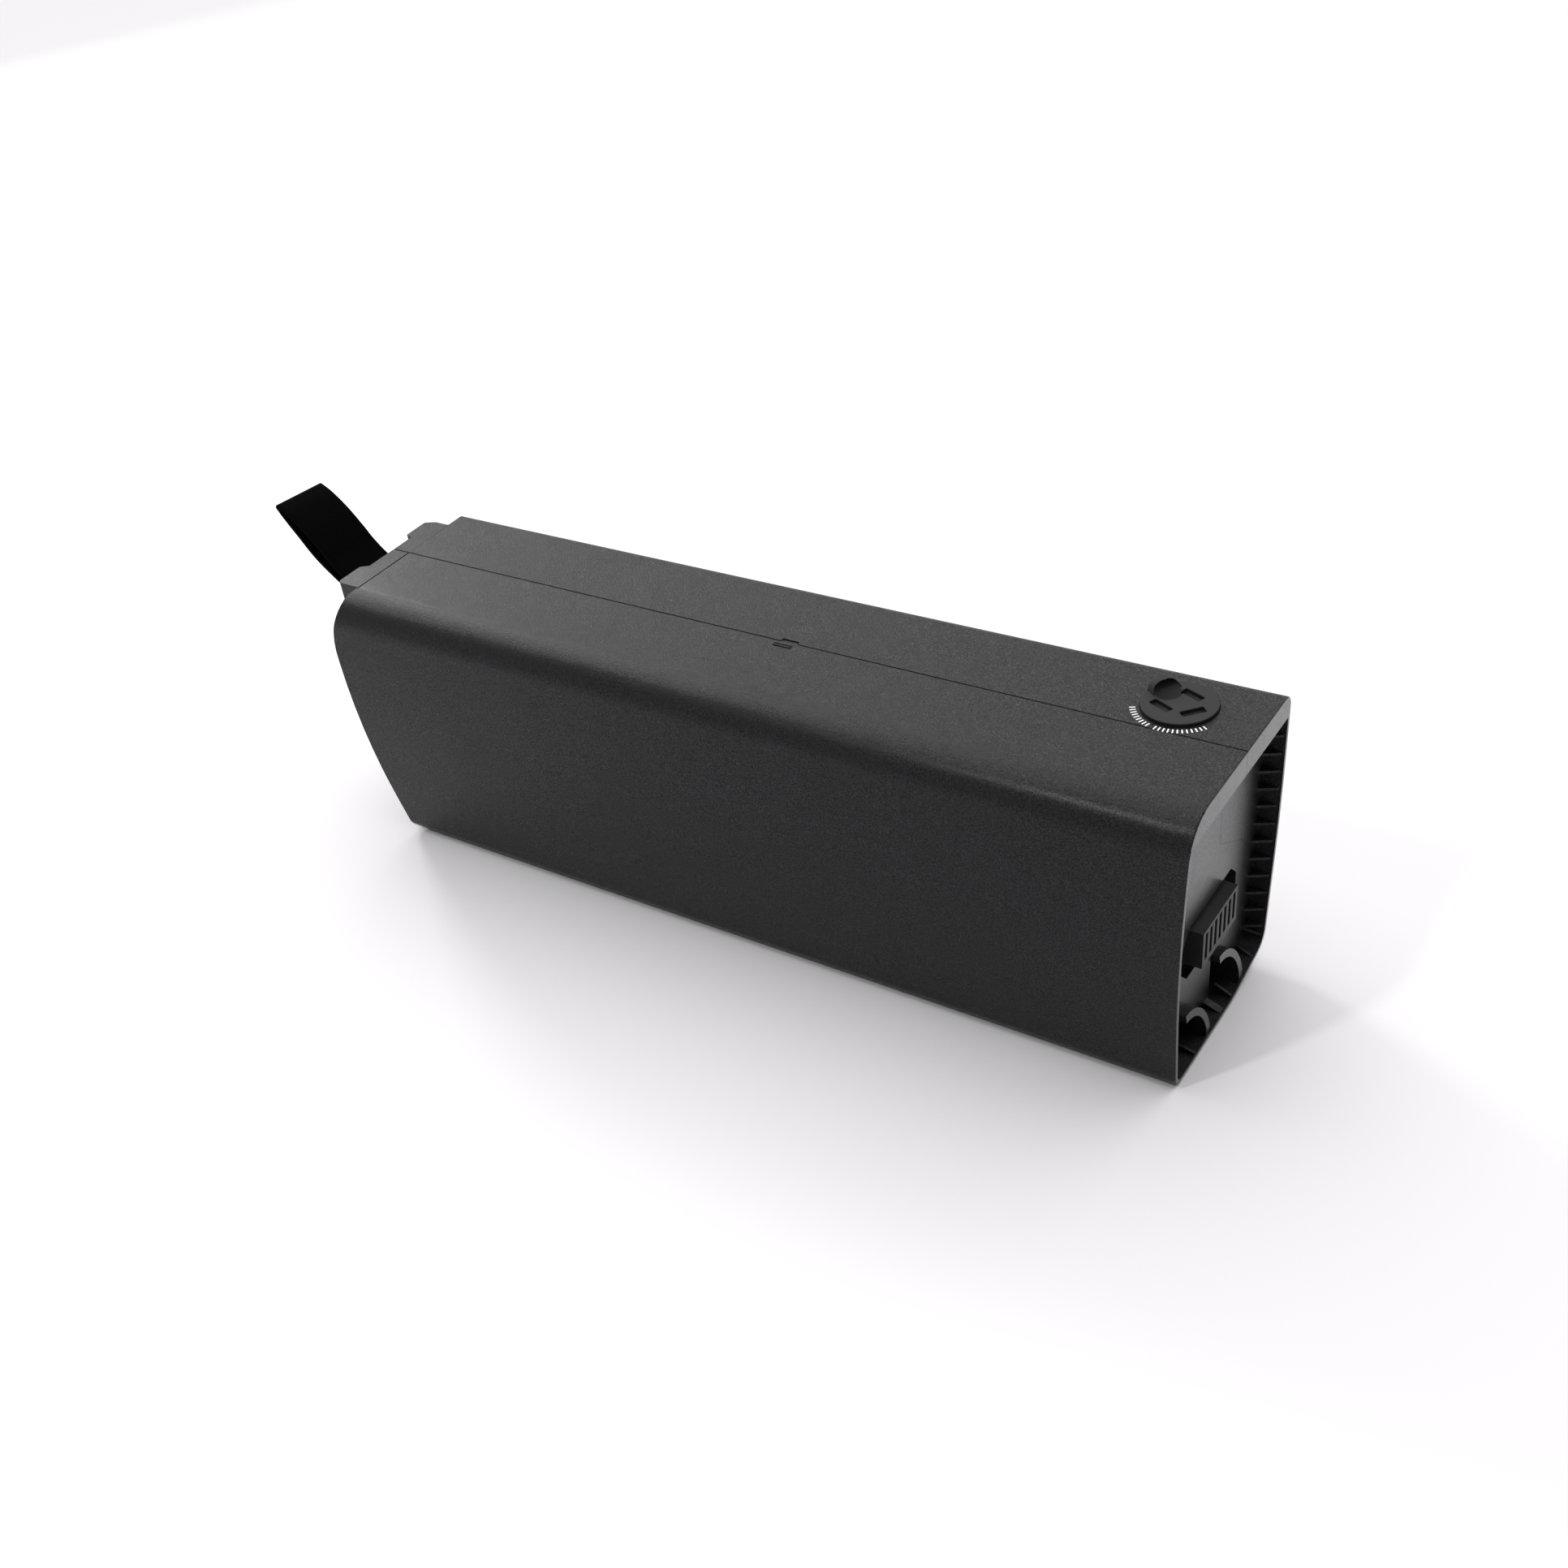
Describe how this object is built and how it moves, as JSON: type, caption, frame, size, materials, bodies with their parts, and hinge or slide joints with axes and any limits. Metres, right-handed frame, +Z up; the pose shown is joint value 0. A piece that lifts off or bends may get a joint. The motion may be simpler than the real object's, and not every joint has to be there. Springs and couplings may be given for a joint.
{
  "type": "electric bicycle battery pack",
  "caption": "Long slide-in battery pack with a leaning tail, webbing pull loop, rubber charge-port plug and a recessed end with a slotted discharge connector.",
  "frame": {"origin": "on the flat of the underside, halfway along the case and near the middle of its width", "axes": "+X along the pack towards the connector end, +Y towards the charge-port side, +Z up towards the face with the charge plug"},
  "size_m": [0.4141, 0.0861, 0.1266],
  "materials": {
    "case_plastic": "fine spark-eroded grain, satin",
    "connector_plastic": "plain moulded black",
    "plug_rubber": "soft moulded rubber",
    "seal_rubber": "smooth",
    "webbing": "woven nylon webbing",
    "screw_steel": "zinc plated",
    "cell_sleeve": "shrink sleeve",
    "holder_plastic": "moulded",
    "nickel": "bright nickel sheet",
    "insulation_card": "pressed fibre sheet",
    "foam": "closed-cell foam",
    "circuit_board": "solder mask",
    "component_black": "moulded",
    "heat_sink_aluminium": "extruded",
    "header_plastic": "moulded",
    "ribbon_lead": "flat ribbon",
    "fuse_plastic": "clear tinted",
    "contact_brass": "plated",
    "lead_red": "silicone sleeve",
    "lead_black": "silicone sleeve"
  },
  "bodies": {
    "case": {"shell_near": "case_plastic", "shell_far": "case_plastic", "strap_block": "case_plastic", "shell_seal": "seal_rubber", "connector_seal": "seal_rubber", "charge_socket_seal": "seal_rubber", "shell_screws": "screw_steel", "strap_block_screws": "screw_steel", "connector_screws": "screw_steel", "strap_pin": "screw_steel", "cells": "cell_sleeve", "cell_holder_near": "holder_plastic", "cell_holder_far": "holder_plastic", "nickel_strips_near": "nickel", "nickel_strips_far": "nickel", "insulation_sheet_near": "insulation_card", "insulation_sheet_far": "insulation_card", "foam_pads": "foam", "bms_board": "circuit_board", "bms_mosfets": "component_black", "bms_heat_spreader": "heat_sink_aluminium", "bms_capacitors": "component_black", "balance_socket": "header_plastic", "balance_leads": "ribbon_lead", "temperature_probe": "component_black", "fuse_holder": "component_black", "fuse": "fuse_plastic", "discharge_connector": "connector_plastic", "discharge_contacts": "contact_brass", "positive_lead": "lead_red", "negative_lead": "lead_black", "charge_leads": "lead_black", "charge_socket": "connector_plastic", "charge_socket_pins": "contact_brass"},
    "pull_strap": {"strap": "webbing"},
    "plug": {"charge_plug": "plug_rubber"}
  },
  "joints": [
    {"name": "strap_swing", "type": "hinge", "parent": "case", "child": "pull_strap", "pos_m": [-0.1845, 0.003, 0.082], "axis": [0, 1, 0], "range_deg": [-100, 20], "stiffness_Nm_per_rad": 0.15},
    {"name": "plug_lift", "type": "slide", "parent": "case", "child": "plug", "axis": [0, 0, 1], "range_m": [0, 0.014]}
  ]
}
